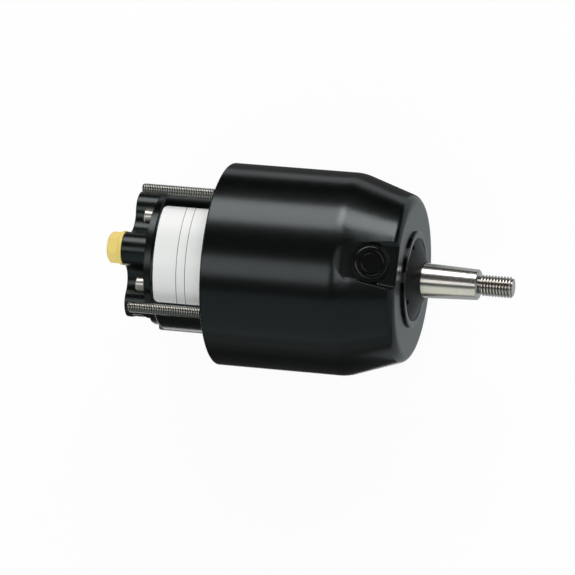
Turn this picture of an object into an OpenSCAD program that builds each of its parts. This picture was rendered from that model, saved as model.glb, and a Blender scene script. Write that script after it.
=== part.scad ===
// Hydraulic helm pump for a dashboard: a tapered round housing that is also the oil reservoir,
// a seven-piston axial pump behind it, a rear cover with a lock valve, and a tapered wheel shaft.
// Drawn looking at the front: x right, y up to the filler, z out along the shaft, then stood upright.

/* [Housing] */
// Outer diameter of the housing barrel
housing_d = 115; // [111:0.5:122]
// Length of the straight barrel, from the mounting plane
barrel_len = 75.8; // [74:0.2:84]
// Length of the tapered nose
nose_len = 33; // [31:0.5:36]
// Diameter at which the taper meets the front face
nose_front_d = 92.8; // [90:0.2:98]
// Wall of the reservoir
housing_wall = 5.5; // [4:0.1:6]
// Thickness of the front wall
front_wall = 12.8; // [12:0.1:14]
// Wall of the housing round the pump body flange
rim_wall = 4.2; // [3.8:0.1:4.6]
// Rounding where the barrel turns into the nose
shoulder_r = 9; // [2:0.5:14]
// Rounding of the front edge
nose_edge_r = 4.2; // [2:0.1:5]
// Rounding of the rear rim
rim_r = 1; // [0.3:0.1:1.6]

/* [Filler] */
// Distance of the filler in front of the barrel
filler_ahead = 18.8; // [17.8:0.1:20]
// Depth of the pocket floor under the taper, at the filler
filler_sink = 2.6; // [2:0.1:3.2]
// Tilt of the flat filler pocket
filler_tilt = 25.2; // [22:0.2:28]
// Width of the pocket floor
pocket_w = 19.8; // [16:0.2:21]
// Sideways flare of the pocket walls for each unit of height
pocket_flare = 1.9; // [1:0.1:2.4]
// Diameter of the round recess for the cap
recess_d = 22; // [20.5:0.1:24]
// Depth of the round recess
recess_depth = 1.6; // [1:0.1:2.4]
// Diameter of the filler cap
cap_d = 18.6; // [17:0.1:20]
// Height of the filler cap above its seat
cap_h = 2.8; // [2.4:0.1:4]
// Thread diameter of the filler
filler_thread_d = 14; // [12:0.5:15]
// Wall of the boss round the filler thread
filler_boss_wall = 3; // [2:0.1:4]
// Depth of the filler boss under the pocket floor
filler_boss_depth = 9; // [7:0.2:10]

/* [Mounting] */
// Place of the stud circle between the side of the pump body and the edge of its flange
stud_place = 0.6; // [0.55:0.01:0.62]
// Thread diameter of the mounting studs
stud_d = 6; // [5:0.5:6]
// Thread pitch of the mounting studs
stud_pitch = 1; // [0.8:0.05:1]
// Length of the studs behind the mounting plane
stud_reach = 44.7; // [30:0.5:60]
// Depth of the stud threads in the flange
stud_seat = 6; // [4:0.2:6]
// Thickness of the pump body flange
flange_t = 10; // [10:0.2:11]
// Distance from the side of the housing to the circle of the screws that hold the flange
flange_screw_inset = 10; // [9.6:0.1:10.6]
// Radius of the housing bosses for the flange screws
flange_boss_r = 6; // [5:0.1:6]
// Length of the housing bosses for the flange screws
flange_boss_len = 16; // [12:0.5:20]

/* [Pump body and rear cover] */
// Diameter of the pump body
body_d = 80; // [79.5:0.5:84]
// Length of the pump body behind the mounting plane
body_len = 34.2; // [32:0.2:44]
// Rear edge chamfer of the pump body
body_chamfer = 1.4; // [0.5:0.1:2]
// Diameter of the rear cover over its lobes
cover_d = 74.8; // [74:0.2:79]
// How far the rear cover base stands out past the lobes
cover_base_lip = 0.5; // [0.3:0.1:1]
// Thickness of the rear cover base
cover_base_t = 4.1; // [3:0.1:6]
// Thickness of the lobed block on the base
cover_block_t = 14.2; // [13.8:0.1:18]
// Number of lobes and of cover screws
lobe_count = 5; // [5:1:5]
// Radius of a lobe
lobe_r = 9.4; // [8.8:0.1:9.8]
// Pitch circle of the cover screws
cover_screw_pcd = 66; // [65:0.2:66]
// Thread diameter of the inner and cover screws
screw_d = 5; // [4.5:0.1:5]
// Length of the cover screws under the head
cover_screw_len = 18; // [12:0.5:22]
// Radius of the threaded port holes
port_r = 6; // [5.4:0.1:6.4]
// Depth of the threaded port holes
port_depth = 12; // [11.5:0.2:13]

/* [Port plug and nameplate] */
// Diameter of the plastic port plug flange
plug_flange_d = 19.4; // [16:0.2:20]
// Thickness of the plug flange
plug_flange_t = 1.7; // [1:0.1:2.5]
// Size across the flats of the plug hexagon
plug_hex = 15.6; // [13:0.1:16]
// Length of the plug hexagon
plug_hex_len = 7.2; // [5:0.2:9]
// Length of the plug in the port
plug_shank_len = 8; // [6:0.5:11]
// Half of the angle that the nameplate covers
plate_half_angle = 43; // [30:1:50]
// Length of the nameplate
plate_len = 30; // [20:0.5:30]
// Gap from the nameplate to the mounting plane
plate_gap = 2; // [1:0.2:2]
// Thickness of the nameplate
plate_t = 0.2; // [0.1:0.05:0.4]
// Corner rounding of the nameplate
plate_corner = 2.5; // [1:0.1:4]

/* [Shaft] */
// Diameter of the shaft journal in the bearing
journal_d = 20; // [19:0.1:20.5]
// Taper of the wheel seat, as a ratio of diameter to length
shaft_taper = 12; // [10:0.5:16]
// Distance of the small end of the taper from the front face
taper_end = 38.2; // [30:0.2:44]
// Distance at which the taper starts from the front face
taper_start = 3.9; // [3:0.1:5]
// Thread diameter at the shaft end
thread_d = 12; // [10:0.5:13]
// Length of the threaded end
thread_len = 19.4; // [14:0.2:28]
// Diameter of the relief behind the thread
relief_d = 9.6; // [8:0.1:9.8]
// Width of the woodruff key slot
key_slot_w = 5; // [3:0.5:6]
// Depth of the woodruff key slot
key_slot_depth = 3.4; // [2:0.1:4]
// Diameter of the shaft collar behind the bearing
collar_d = 25; // [23.5:0.2:26]
// Diameter of the shaft in the cylinder block
drive_d = 18; // [17:0.2:18.8]
// Diameter of the rear journal in the bush
tail_d = 16; // [14:0.2:16.6]
// Length of the rear journal in the pump body
tail_len = 15; // [12:0.5:20]
// Width and height of the key that drives the cylinder block
key_w = 6; // [4:0.5:6]

/* [Front bearing and seal] */
// Outer diameter of the front ball bearing
bearing_d = 42; // [42:0.5:43]
// Width of the front ball bearing
bearing_w = 12; // [11.5:0.2:12]
// Ball radius of the front bearing
bearing_ball_r = 3.1; // [2.6:0.1:3.2]
// Number of balls in the front bearing
bearing_balls = 9; // [7:1:10]
// Diameter of the lock ring on the front face
collar_ring_d = 54.6; // [52:0.2:58]
// Height of the lock ring above the front face
collar_ring_h = 2.7; // [2.4:0.1:4.4]
// Diameter of the seal carrier
carrier_d = 46.8; // [46:0.2:47.4]
// Depth of the seal carrier in the front wall
carrier_depth = 3.8; // [3.6:0.1:4]
// Height of the carrier cone above the lock ring
carrier_cone_h = 3.5; // [2:0.1:4]
// Outer diameter of the shaft seal
seal_d = 35; // [33:0.2:36]
// Width of the shaft seal
seal_w = 4.6; // [4:0.1:4.8]
// Radius of the spanner notches in the carrier
notch_r = 1.9; // [1.4:0.1:2.2]

/* [Pump] */
// Number of pistons
piston_count = 7; // [7:1:7]
// Piston diameter
piston_d = 17; // [16:0.1:17.2]
// Pitch circle of the pistons
piston_pcd = 56; // [55.5:0.1:56.5]
// Piston length
piston_len = 38; // [36:0.2:38.4]
// Radius of the round piston nose
piston_nose_r = 10; // [9:0.1:12]
// Bore of the hollow piston
piston_bore_d = 11; // [9:0.2:12]
// Depth of the hollow in the piston
piston_hollow = 24; // [18:0.5:26]
// Wall outside the cylinder bores
block_wall = 2.5; // [2:0.1:2.8]
// Tilt of the swash plate
swash_tilt = 18; // [17:0.2:18.2]
// Diameter of the swash plate
swash_d = 78; // [76:0.5:80]
// Thickness of the swash plate on the shaft axis
swash_mid = 15.5; // [15.4:0.1:16]
// Flat on the thin side of the swash plate, from the shaft axis
swash_flat = 33; // [31:0.2:34]
// Outer diameter of the thrust races
race_d = 74; // [72:0.2:74]
// Inner diameter of the thrust races
race_bore_d = 38; // [36:0.2:42]
// Thickness of each thrust race
race_t = 3.6; // [3.4:0.1:3.6]
// Gap between the two thrust races
race_gap = 2.8; // [2.6:0.1:2.8]
// Ball radius of the thrust bearing
thrust_ball_r = 3; // [2.6:0.1:3]
// Number of balls in the thrust bearing
thrust_balls = 16; // [12:1:18]
// Thickness of the port plate
port_plate_t = 4; // [3:0.1:4.2]
// Width of the kidney slots
kidney_w = 7; // [5:0.2:8]
// Half angle of a kidney slot
kidney_half = 68; // [50:1:70]
// Length of the rear bush
bush_len = 14; // [10:0.5:16]
// Wall of the rear bush
bush_wall = 3; // [2:0.1:4]

/* [Lock valve] */
// Radius of the valve bore
valve_r = 5; // [4.6:0.1:5.2]
// Length of the shuttle spool between its push pins
spool_len = 16; // [14:0.5:17]
// Length of each push pin
push_pin_len = 4; // [3:0.1:4]
// Width of a valve seat
seat_w = 4; // [3:0.1:4]
// Travel of a check poppet
poppet_travel = 2; // [1:0.1:2.4]
// Length of a check poppet behind its cone
poppet_len = 6; // [5:0.2:6.4]

/* [Hidden] */
$fn = 64;

// Clearances: a running fit, a loose fit, the room between bodies that move past each other
run_gap = 0.05;
loose_gap = 0.25;
move_gap = 0.35;
// How far a cutting shape reaches past the face that it cuts
past = 1;

// Places along the shaft
face_z = barrel_len + nose_len;
nose_slope = (housing_d - nose_front_d) / 2 / nose_len;
wall_z = face_z - front_wall;
bearing_front = face_z - carrier_depth;
bearing_back = bearing_front - bearing_w;
bearing_shoulder = 3;
bearing_boss_z = bearing_back - bearing_shoulder;
bearing_boss_wall = 3;
bearing_boss_r = bearing_d / 2 + bearing_boss_wall;
bearing_lip = 2.5;
ring_front = face_z + collar_ring_h;
carrier_front = ring_front + carrier_cone_h;
cavity_r = housing_d / 2 - housing_wall;
filler_z = barrel_len + filler_ahead;
filler_h = nose_r(filler_z) - filler_sink;
flange_r = housing_d / 2 - rim_wall;
stud_seat_r = stud_d / 2 - stud_pitch * 0.3;
stud_ring_r = body_d / 2 + stud_place * (flange_r - body_d / 2);
flange_screw_r = housing_d / 2 - flange_screw_inset;
cover_z = -body_len;
block_base_z = cover_z - cover_base_t;
cover_back = block_base_z - cover_block_t;
valve_z = block_base_z - cover_block_t / 2;

// Places of the pumping group, from the front wall back to the port plate
swash_z = wall_z - swash_mid;
race_stack = 2 * race_t + race_gap;
contact_z = swash_z - race_stack / cos(swash_tilt);
piston_ring_r = piston_pcd / 2;
block_r = (piston_pcd + piston_d) / 2 + block_wall;
nose_centre_z = contact_z - piston_ring_r * tan(swash_tilt) - (piston_nose_r + move_gap) / cos(swash_tilt);
piston_front = nose_centre_z + piston_nose_r;
piston_back = piston_front - piston_len;
block_back = flange_t + port_plate_t + run_gap;
nose_reach = 4.4;
block_front = piston_front - nose_reach;
spring_floor = 1.1;
cylinder_floor = piston_back - spring_floor;
block_room = 1;
cylinder_port_d = 7;

// Screws
head_d = screw_d * 1.7;
head_h = screw_d;
socket_af = screw_d * 0.8;

head_edge = 0.4;
flange_head_depth = head_h + 0.5;
boss_floor = 4;
swash_clamp = 3.5;
swash_screw_depth = 8;
swash_screw_room = 1;
swash_screw_r = (bearing_boss_r + loose_gap + swash_d / 2) / 2;
swash_screw_turns = [30, 150, 210, 330];

// Bearings: ring walls, ball circles and the plane of the thrust balls
bearing_ring_t = (bearing_d - journal_d) / 2 * 0.3;
bearing_pitch_r = (bearing_d + journal_d) / 4;
bearing_mid = (bearing_front + bearing_back) / 2;
circlip_t = 1.2;
circlip_depth = 0.7;
seal_back = bearing_front + run_gap + circlip_t + loose_gap;
race_pitch_r = (race_d + race_bore_d) / 4;
ball_plane = -race_t - race_gap / 2;

// O-rings, dowel pins and the feed drillings
flange_o_ring_r = 1.4;
flange_seal_z = flange_t - 2.2;
cover_o_ring_r = 1.1;
cover_seal_r = 25;
filler_ring_r = 1.2;
filler_seat = -recess_depth;
pin_ring_r = 18;
pin_r = 2;
pin_seat = 5;
feed_x = 10;

// Lobes of the rear cover: the valleys run into the lobes, which they cross by a hair
valley_lap = 0.04;
cover_base_r = cover_d / 2 + cover_base_lip;
lobe_ring_r = cover_d / 2 - lobe_r;
lobe_step = 360 / lobe_count;
valley_ring_r = cover_screw_pcd / 2;
valley_r = sqrt(lobe_ring_r * lobe_ring_r + valley_ring_r * valley_ring_r
                - 2 * lobe_ring_r * valley_ring_r * cos(lobe_step / 2)) - lobe_r;
side_lobe_angle = 90 - lobe_step;
valve_h = lobe_ring_r * sin(side_lobe_angle);
port_angle = 90 - 2 * lobe_step;

// Lock valve, from the middle out
seat_in = spool_len / 2 + push_pin_len;
seat_out = seat_in + seat_w;
seat_hole_r = valve_r / 2;
poppet_r = valve_r - 0.5;
poppet_shoulder = seat_out + 1;
poppet_end = poppet_shoulder + poppet_len;
valve_spring_len = 5.6;
end_plug_in = poppet_end + valve_spring_len;
end_plug_out = lobe_ring_r * cos(side_lobe_angle) + lobe_r - 1;

black_paint = "#191b1d";
black_plastic = "#16181a";
steel = "#b9bab8";
bright_steel = "#d3d3d0";
dark_steel = "#6d7075";
aluminium = "#c3c6c8";
bronze = "#b08a4e";
rubber = "#202020";
yellow_plastic = "#e3c255";
white_foil = "#e9eae8";

function along(a, b) = (b - a) / norm(b - a);
function half_corner(p, c, q) = acos(along(c, p) * along(c, q)) / 2;
function corner_trim(p, c, q, r) = r / tan(half_corner(p, c, q));
function corner_centre(p, c, q, r) =
    let (mid = along(c, p) + along(c, q)) c + mid / norm(mid) * r / sin(half_corner(p, c, q));
function nose_r(z) = housing_d / 2 - max(0, z - barrel_len) * nose_slope;
function piston_angle(i) = 90 + i * 360 / piston_count;

// Outline with its convex corners rounded by true arcs
module filleted(points, radii) {
    count = len(points);
    function before(i) = points[(i + count - 1) % count];
    function after(i) = points[(i + 1) % count];
    polygon([for (i = [0 : count - 1])
        let (c = points[i], p = before(i), q = after(i), r = radii[i])
        each r > 0
            ? [c + along(c, p) * corner_trim(p, c, q, r), c + along(c, q) * corner_trim(p, c, q, r)]
            : [c]]);
    for (i = [0 : count - 1])
        if (radii[i] > 0)
            translate(corner_centre(before(i), points[i], after(i), radii[i]))
                circle(r = radii[i]);
}

// Stands the drawing upright: the shaft points to -Y and the filler to +Z
module upright() {
    rotate([90, 0, 0])
        children();
}

// Seat of the filler cap, its axis along z
module at_filler() {
    translate([0, filler_h, filler_z])
        rotate([filler_tilt - 90, 0, 0])
            children();
}

// Face of the swash plate, its normal along z
module at_swash() {
    translate([0, 0, swash_z])
        rotate([swash_tilt, 0, 0])
            children();
}

// Copies round the shaft at the angles given
module at_turns(turns, ring_r) {
    for (turn = turns)
        rotate([0, 0, turn])
            translate([ring_r, 0, 0])
                children();
}

// Evenly spaced copies round the shaft, the first at the angle given
module ring_of(count, ring_r, first = 90) {
    at_turns([for (i = [0 : count - 1]) first + i * 360 / count], ring_r)
        children();
}

module ring(outer_r, inner_r, z0, z1) {
    translate([0, 0, z0])
        difference() {
            cylinder(r = outer_r, h = z1 - z0);
            translate([0, 0, -past])
                cylinder(r = inner_r, h = z1 - z0 + 2 * past);
        }
}

module bore(r, z0, z1) {
    translate([0, 0, z0])
        cylinder(r = r, h = z1 - z0);
}

// Round groove of a ball race or an O-ring
module groove(ring_r, r, z) {
    translate([0, 0, z])
        rotate_extrude()
            translate([ring_r, 0])
                circle(r = r, $fn = 32);
}

// Socket head screw: the head stands on z = 0 and the shank runs down from it
module cap_screw(length) {
    difference() {
        union() {
            cylinder(d = head_d, h = head_h - head_edge);
            translate([0, 0, head_h - head_edge])
                cylinder(d1 = head_d, d2 = head_d - 2 * head_edge, h = head_edge);
            translate([0, 0, -length])
                cylinder(d = screw_d, h = length);
        }
        translate([0, 0, head_h / 2])
            cylinder(d = socket_af / cos(30), h = head_h, $fn = 6);
    }
}

// Helical wire spring standing on z = 0
module coil_spring(mean_r, wire_r, length, turns) {
    steps = 12;
    sides = 6;
    rings = turns * steps;
    rise = (length - 2 * wire_r) / rings;
    points = [for (j = [0 : rings], k = [0 : sides - 1])
        let (turn = j * 360 / steps, side = k * 360 / sides, r = mean_r + wire_r * cos(side))
        [r * cos(turn), r * sin(turn), wire_r + j * rise + wire_r * sin(side)]];
    walls = [for (j = [0 : rings - 1], k = [0 : sides - 1])
        let (next = (k + 1) % sides)
        [j * sides + k, j * sides + next, (j + 1) * sides + next, (j + 1) * sides + k]];
    start_cap = [for (k = [sides - 1 : -1 : 0]) k];
    end_cap = [for (k = [0 : sides - 1]) rings * sides + k];
    polyhedron(points, concat(walls, [start_cap, end_cap]));
}

// Cast and machined housing: barrel, tapered nose, filler pocket, bearing seat and flange bosses
module front_housing() {
    nose_wall = housing_wall * sqrt(1 + nose_slope * nose_slope);
    cavity_turn = barrel_len - (nose_wall - housing_wall) / nose_slope;
    boss_r = filler_thread_d / 2 + filler_boss_wall;
    color(black_paint)
        upright()
            difference() {
                union() {
                    difference() {
                        rotate_extrude()
                            filleted([[0, 0], [housing_d / 2, 0], [housing_d / 2, barrel_len],
                                      [nose_front_d / 2, face_z], [0, face_z]],
                                     [0, rim_r, shoulder_r, nose_edge_r, 0]);
                        rotate_extrude()
                            polygon([[0, -past], [cavity_r, -past], [cavity_r, cavity_turn],
                                     [nose_r(wall_z) - nose_wall, wall_z], [0, wall_z]]);
                    }
                    bore(bearing_boss_r, bearing_boss_z, wall_z + past);
                    difference() {
                        ring_of(4, flange_screw_r, 0)
                            bore(flange_boss_r, flange_t, flange_t + flange_boss_len);
                        bore(block_r + block_room, flange_t - past, flange_t + flange_boss_len + past);
                    }
                    at_filler()
                        bore(boss_r, -filler_boss_depth, -recess_depth);
                }
                bore(flange_r + run_gap, -past, flange_t);
                bore(bearing_d / 2 + run_gap, bearing_back, face_z + past);
                bore(bearing_d / 2 - bearing_lip, bearing_boss_z - past, face_z);
                bore(carrier_d / 2 + run_gap, bearing_front, face_z + past);
                ring_of(4, flange_screw_r, 0)
                    bore(screw_d / 2, -past, flange_t + flange_boss_len - boss_floor);
                at_turns(swash_screw_turns, swash_screw_r)
                    bore(screw_d / 2, wall_z - past, wall_z + swash_screw_depth);
                at_filler()
                    bore(recess_d / 2, -recess_depth, past);
                at_filler()
                    bore(filler_thread_d / 2 + run_gap, -filler_boss_depth - past, past);
                at_filler()
                    rotate([90, 0, 0])
                        linear_extrude(2 * nose_len, center = true)
                            pocket_section();
            }
}

// Section of the filler pocket: a flat floor between flared walls
module pocket_section() {
    pocket_h = 12;
    half = pocket_w / 2;
    polygon([[-half, 0], [half, 0],
             [half + pocket_flare * pocket_h, pocket_h], [-half - pocket_flare * pocket_h, pocket_h]]);
}

// Pump body: barrel behind the dashboard and the flange that closes the reservoir
module pump_body() {
    feed_r = 3;
    tail_room = 2;
    color(black_paint)
        upright()
            difference() {
                union() {
                    rotate_extrude()
                        polygon([[0, cover_z], [body_d / 2 - body_chamfer, cover_z],
                                 [body_d / 2, cover_z + body_chamfer], [body_d / 2, 0], [0, 0]]);
                    bore(flange_r, 0, flange_t);
                }
                groove(flange_r, flange_o_ring_r + run_gap, flange_seal_z);
                ring_of(4, stud_ring_r, 45)
                    bore(stud_seat_r, -past, stud_seat);
                ring_of(4, flange_screw_r, 0) {
                    bore(screw_d / 2 + loose_gap, -past, flange_t + past);
                    bore(head_d / 2 + loose_gap, -past, flange_head_depth);
                }
                bore(tail_d / 2 + bush_wall, flange_t - bush_len, flange_t + past);
                bore(tail_d / 2 + loose_gap, flange_t - tail_len - tail_room, flange_t);
                ring_of(lobe_count, cover_screw_pcd / 2, 90 + lobe_step / 2)
                    bore(screw_d / 2, cover_z - past, cover_z + cover_screw_len - cover_base_t + tail_room);
                ring_of(2, pin_ring_r)
                    bore(pin_r, flange_t - pin_seat, flange_t + past);
                for (side = [-1, 1])
                    drilling([side * piston_ring_r, 0, flange_t + past], [side * feed_x, valve_h, cover_z - past],
                             feed_r);
            }
}

// Straight drilling between two points
module drilling(from, to, r) {
    way = to - from;
    translate(from)
        rotate([0, acos(way.z / norm(way)), atan2(way.y, way.x)])
            cylinder(r = r, h = norm(way));
}

// Outline of the lobed block: round lobes joined by round valleys
module lobed_outline() {
    difference() {
        polygon([for (i = [0 : 2 * lobe_count - 1])
            let (turn = 90 + i * lobe_step / 2, r = i % 2 == 0 ? lobe_ring_r : valley_ring_r)
            [r * cos(turn), r * sin(turn)]]);
        ring_of(lobe_count, valley_ring_r, 90 + lobe_step / 2)
            circle(r = valley_r + valley_lap);
    }
    ring_of(lobe_count, lobe_ring_r)
        circle(r = lobe_r);
}

// Rear cover: round base, five-lobed block, three ports and the cross bore of the lock valve
module rear_cover() {
    passage_r = 2.5;
    passage_x = lobe_ring_r * cos(port_angle);
    color(black_paint)
        upright()
            difference() {
                union() {
                    bore(cover_base_r, block_base_z, cover_z);
                    translate([0, 0, cover_back])
                        linear_extrude(cover_block_t)
                            lobed_outline();
                }
                ring_of(lobe_count, cover_screw_pcd / 2, 90 + lobe_step / 2)
                    bore(screw_d / 2 + loose_gap, cover_back, cover_z + past);
                for (i = [0, 2, 3])
                    rotate([0, 0, i * lobe_step])
                        translate([0, lobe_ring_r, 0])
                            bore(port_r, cover_back - past, cover_back + port_depth);
                translate([0, valve_h, valve_z])
                    rotate([0, 90, 0])
                        cylinder(r = valve_r, h = cover_d, center = true);
                for (side = [-1, 1]) {
                    translate([side * feed_x, valve_h, valve_z])
                        cylinder(r = passage_r, h = cover_z + past - valve_z);
                    drilling([side * passage_x, lobe_ring_r * sin(port_angle), valve_z],
                             [side * passage_x, valve_h, valve_z], passage_r);
                }
                groove(cover_seal_r, cover_o_ring_r + run_gap, cover_z);
            }
}

module cover_screws() {
    color(bright_steel)
        upright()
            ring_of(lobe_count, cover_screw_pcd / 2, 90 + lobe_step / 2)
                translate([0, 0, block_base_z])
                    mirror([0, 0, 1])
                        cap_screw(cover_screw_len);
}

module flange_screws() {
    color(steel)
        upright()
            ring_of(4, flange_screw_r, 0)
                translate([0, 0, flange_head_depth])
                    mirror([0, 0, 1])
                        cap_screw(flange_t - flange_head_depth + flange_boss_len - boss_floor - past);
}

// Studs that pull the pump against the dashboard, each with its seat in the flange at the mean thread diameter
module mounting_studs() {
    lead = stud_pitch * 0.6;
    color(bright_steel)
        upright()
            ring_of(4, stud_ring_r, 45)
                rotate_extrude()
                    polygon([[0, -stud_reach], [stud_d / 2 - lead, -stud_reach], [stud_d / 2, lead - stud_reach],
                             [stud_d / 2, 0], [stud_seat_r, 0], [stud_seat_r, stud_seat], [0, stud_seat]]);
}

// Plastic plug screwed into the top port
module port_plug() {
    hex_back = cover_back - plug_flange_t - plug_hex_len;
    lead = 1.2;
    color(yellow_plastic)
        upright()
            translate([0, lobe_ring_r, 0]) {
                bore(port_r - run_gap, cover_back - plug_flange_t, cover_back + plug_shank_len);
                bore(plug_flange_d / 2, cover_back - plug_flange_t, cover_back);
                intersection() {
                    translate([0, 0, hex_back])
                        cylinder(d = plug_hex / cos(30), h = plug_hex_len, $fn = 6);
                    translate([0, 0, hex_back])
                        cylinder(r1 = plug_hex / 2 - lead / 2, r2 = plug_hex / 2 - lead / 2 + plug_hex_len * 1.4,
                                 h = plug_hex_len);
                }
            }
}

// Foil nameplate wrapped over the top of the pump body
module nameplate() {
    half_w = body_d / 2 * sin(plate_half_angle);
    color(white_foil)
        upright()
            intersection() {
                ring(body_d / 2 + plate_t, body_d / 2, -plate_gap - plate_len, -plate_gap);
                rotate([-90, 0, 0])
                    linear_extrude(body_d)
                        translate([-half_w, plate_gap])
                            rounded_plate(2 * half_w, plate_len, plate_corner);
            }
}

module rounded_plate(w, h, r) {
    translate([r, 0])
        square([w - 2 * r, h]);
    translate([0, r])
        square([w, h - 2 * r]);
    for (x = [r, w - r], y = [r, h - r])
        translate([x, y])
            circle(r = r);
}

module flange_o_ring() {
    color(rubber)
        upright()
            intersection() {
                groove(flange_r, flange_o_ring_r, flange_seal_z);
                bore(flange_r, 0, flange_t);
            }
}

module cover_o_ring() {
    color(rubber)
        upright()
            intersection() {
                groove(cover_seal_r, cover_o_ring_r, cover_z);
                bore(cover_base_r, block_base_z, cover_z);
            }
}

// Lock ring on the front face, with a step round its outside
module lock_ring() {
    step_h = collar_ring_h * 0.35;
    step_in = 0.6;
    edge = 0.6;
    outer = collar_ring_d / 2;
    inner = carrier_d / 2 + run_gap;
    color(black_plastic)
        upright()
            rotate_extrude()
                polygon([[inner, face_z], [outer - step_in, face_z], [outer - step_in, face_z + step_h],
                         [outer, face_z + step_h], [outer, ring_front - edge], [outer - edge, ring_front],
                         [inner + edge, ring_front], [inner, ring_front - edge]]);
}

// Seal carrier: screwed into the front wall against the bearing, with four spanner notches in its rim
module seal_carrier() {
    shoulder = 0.8;
    throat_r = journal_d / 2 + loose_gap;
    color(black_plastic)
        upright()
            difference() {
                rotate_extrude()
                    polygon([[throat_r, bearing_front], [carrier_d / 2, bearing_front],
                             [carrier_d / 2, ring_front - shoulder],
                             [carrier_d / 2 - shoulder, ring_front - shoulder],
                             [carrier_d / 2 - shoulder, ring_front - shoulder / 2],
                             [throat_r + 1.2, carrier_front], [throat_r, carrier_front]]);
                bore(seal_d / 2, bearing_front - past, seal_back + seal_w);
                ring_of(4, carrier_d / 2 - shoulder, 45)
                    bore(notch_r, ring_front - 2.2, carrier_front);
            }
}

// Rotary shaft seal with its lip on the journal
module shaft_seal() {
    color(rubber)
        upright()
            ring(seal_d / 2 - run_gap / 2, journal_d / 2 + run_gap, seal_back, seal_back + seal_w);
}

module bearing_outer_ring() {
    color(steel)
        upright()
            difference() {
                ring(bearing_d / 2, bearing_d / 2 - bearing_ring_t, bearing_back, bearing_front);
                groove(bearing_pitch_r, bearing_ball_r + move_gap, bearing_mid);
            }
}

module bearing_inner_ring() {
    color(steel)
        upright()
            difference() {
                ring(journal_d / 2 + bearing_ring_t, journal_d / 2, bearing_back, bearing_front);
                groove(bearing_pitch_r, bearing_ball_r + move_gap, bearing_mid);
            }
}

module bearing_balls_set() {
    color(bright_steel)
        upright()
            ring_of(bearing_balls, bearing_pitch_r)
                translate([0, 0, bearing_mid])
                    sphere(r = bearing_ball_r);
}

module bearing_cage() {
    cage_half = 2.2;
    cage_t = 1.2;
    color(bronze)
        upright()
            difference() {
                ring(bearing_pitch_r + cage_t, bearing_pitch_r - cage_t,
                     bearing_mid - bearing_ball_r - cage_half, bearing_mid + bearing_ball_r + cage_half);
                ring_of(bearing_balls, bearing_pitch_r)
                    translate([0, 0, bearing_mid])
                        rotate([0, 90, 0])
                            cylinder(r = bearing_ball_r + run_gap, h = 4 * cage_t, center = true);
            }
}

// Split ring that holds the bearing on the shaft
module bearing_circlip() {
    outer = journal_d / 2 + 1.8;
    slot = 4;
    color(dark_steel)
        upright()
            difference() {
                ring(outer, journal_d / 2 - circlip_depth, bearing_front + run_gap,
                     bearing_front + run_gap + circlip_t);
                translate([-slot / 2, -outer - past, bearing_front - past])
                    cube([slot, outer, circlip_t + 3 * past]);
            }
}

// Stainless wheel shaft: thread, taper, journal, collar, block drive and rear journal
module wheel_shaft() {
    taper_z0 = face_z + taper_start;
    taper_z1 = face_z + taper_end;
    thread_z1 = taper_z1 + thread_len;
    taper_small_r = journal_d / 2 - (taper_z1 - taper_z0) / shaft_taper / 2;
    edge = 0.8;
    lead = 1.1;
    relief_w = 2.2;
    collar_z0 = bearing_back - 8;
    tail_z = flange_t + port_plate_t;
    tail_back = flange_t - tail_len;
    cutter_r = 8;
    taper_mid = (taper_z0 + taper_z1) / 2;
    taper_mid_r = (journal_d / 2 + taper_small_r) / 2;
    color(steel)
        upright()
            difference() {
                rotate_extrude()
                    polygon([[0, tail_back], [tail_d / 2 - edge, tail_back], [tail_d / 2, tail_back + edge],
                             [tail_d / 2, tail_z], [drive_d / 2, tail_z], [drive_d / 2, block_front + 4],
                             [journal_d / 2, block_front + 4], [journal_d / 2, collar_z0],
                             [collar_d / 2, collar_z0], [collar_d / 2, bearing_back],
                             [journal_d / 2, bearing_back], [journal_d / 2, taper_z0],
                             [taper_small_r + edge / shaft_taper / 2, taper_z1 - edge],
                             [taper_small_r - edge, taper_z1], [relief_d / 2, taper_z1],
                             [relief_d / 2, taper_z1 + relief_w], [thread_d / 2, taper_z1 + relief_w + lead],
                             [thread_d / 2, thread_z1 - lead], [thread_d / 2 - lead, thread_z1],
                             [0, thread_z1]]);
                ring(journal_d / 2 + past, journal_d / 2 - circlip_depth, bearing_front + run_gap,
                     bearing_front + run_gap + circlip_t + run_gap);
                translate([-key_slot_w / 2, key_slot_depth - taper_mid_r - cutter_r, taper_mid])
                    rotate([0, 90, 0])
                        cylinder(r = cutter_r, h = key_slot_w);
                key_room(0);
            }
}

// Room of the block key, half in the shaft and half in the block
module key_room(gap) {
    key_len = 24;
    translate([-key_w / 2 - gap, drive_d / 2 - key_w / 2 - gap, block_back + 8 - gap])
        cube([key_w + 2 * gap, key_w + 2 * gap, key_len + 2 * gap]);
}

module drive_key() {
    color(dark_steel)
        upright()
            key_room(0);
}

// Cylinder block: seven bores round the shaft, each with a port to the rear face
module cylinder_block() {
    color(bronze)
        upright()
            difference() {
                bore(block_r, block_back, block_front);
                bore(drive_d / 2, block_back - past, block_front + past);
                key_room(0);
                ring_of(piston_count, piston_ring_r) {
                    bore(piston_d / 2 + run_gap, cylinder_floor, block_front + past);
                    bore(cylinder_port_d / 2, block_back - past, cylinder_floor + past);
                }
            }
}

// Hollow piston with a round nose, fully pushed in
module piston(i) {
    color(bright_steel)
        upright()
            rotate([0, 0, piston_angle(i)])
                translate([piston_ring_r, 0, 0])
                    difference() {
                        intersection() {
                            bore(piston_d / 2, piston_back, piston_front + past);
                            union() {
                                bore(piston_d, piston_back - past, nose_centre_z);
                                translate([0, 0, nose_centre_z])
                                    sphere(r = piston_nose_r);
                            }
                        }
                        bore(piston_bore_d / 2, piston_back - past, piston_back + piston_hollow);
                    }
}

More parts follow.
